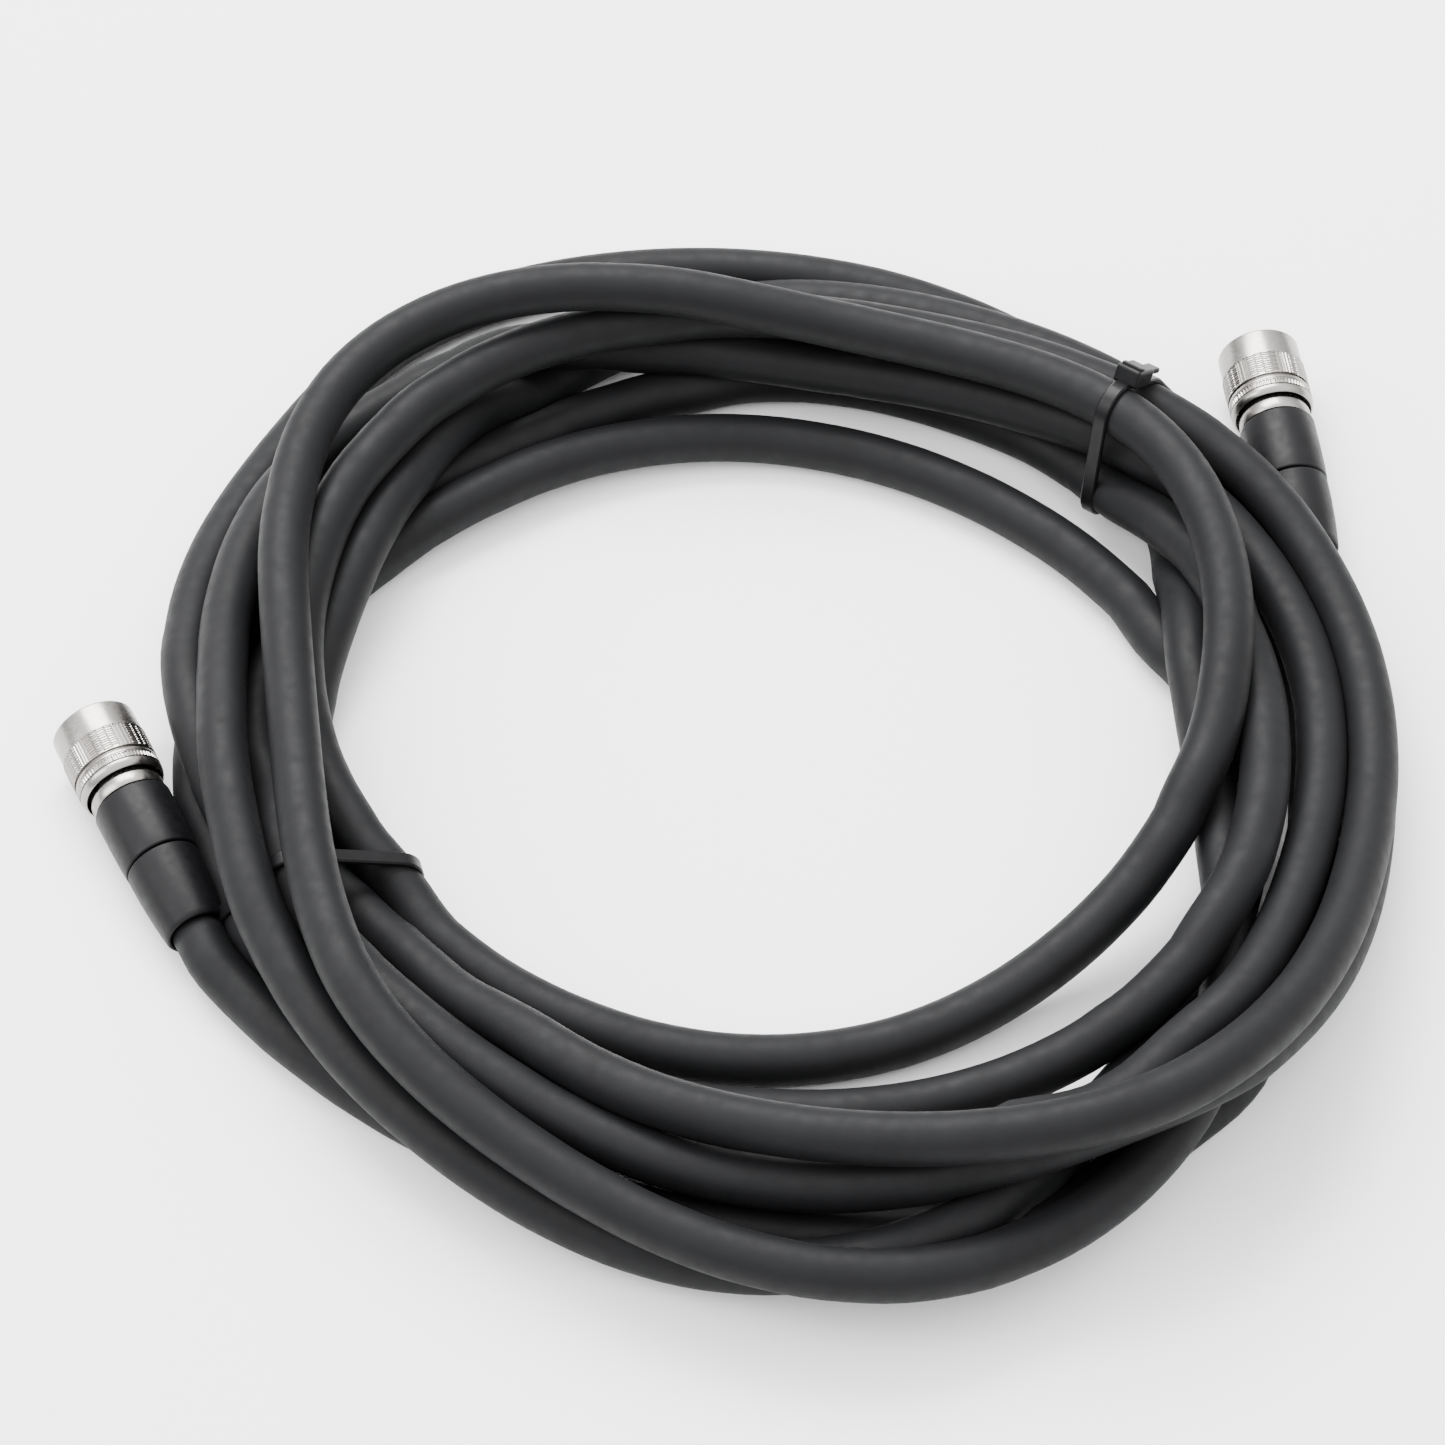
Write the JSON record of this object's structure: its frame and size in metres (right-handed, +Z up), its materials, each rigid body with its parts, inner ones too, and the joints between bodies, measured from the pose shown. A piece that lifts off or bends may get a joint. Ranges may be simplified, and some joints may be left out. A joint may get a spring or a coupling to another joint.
{
  "type": "camera cable coil",
  "caption": "Round multi-core camera cable wound into a loose flat coil, held by cable ties, with a push-pull circular plug on each end.",
  "frame": {"origin": "middle of the whole part's footprint, on the surface that the coil lies on", "axes": "+Z up out of the surface; +X to the right and +Y away, as the picture shows the coil"},
  "size_m": [0.2174, 0.215, 0.0229],
  "materials": {
    "jacket": "matte PVC jacket",
    "tie_nylon": "satin nylon",
    "nickel": "satin nickel plate",
    "insulator": "matte",
    "black_plastic": "satin",
    "black_rubber": "satin"
  },
  "bodies": {
    "root": {"cable_coil": "jacket", "cable_tail_left": "jacket", "cable_tail_right": "jacket", "cable_tie_upper": "tie_nylon", "cable_tie_lower": "tie_nylon", "plug_shell_left": "nickel", "contact_insert_left": "insulator", "backshell_left": "black_plastic", "strain_relief_left": "black_rubber", "plug_shell_right": "nickel", "contact_insert_right": "insulator", "backshell_right": "black_plastic", "strain_relief_right": "black_rubber"},
    "sleeve_left": {"coupling_sleeve_left": "nickel"},
    "sleeve_right": {"coupling_sleeve_right": "nickel"}
  },
  "joints": [
    {"name": "sleeve_slide_left", "type": "slide", "parent": "root", "child": "sleeve_left", "axis": [0.4439, -0.8947, -0.0492], "range_m": [0, 0.0015], "stiffness_N_per_m": 2000},
    {"name": "sleeve_slide_right", "type": "slide", "parent": "root", "child": "sleeve_right", "axis": [0.1352, -0.9896, -0.0493], "range_m": [0, 0.0015], "stiffness_N_per_m": 2000}
  ]
}
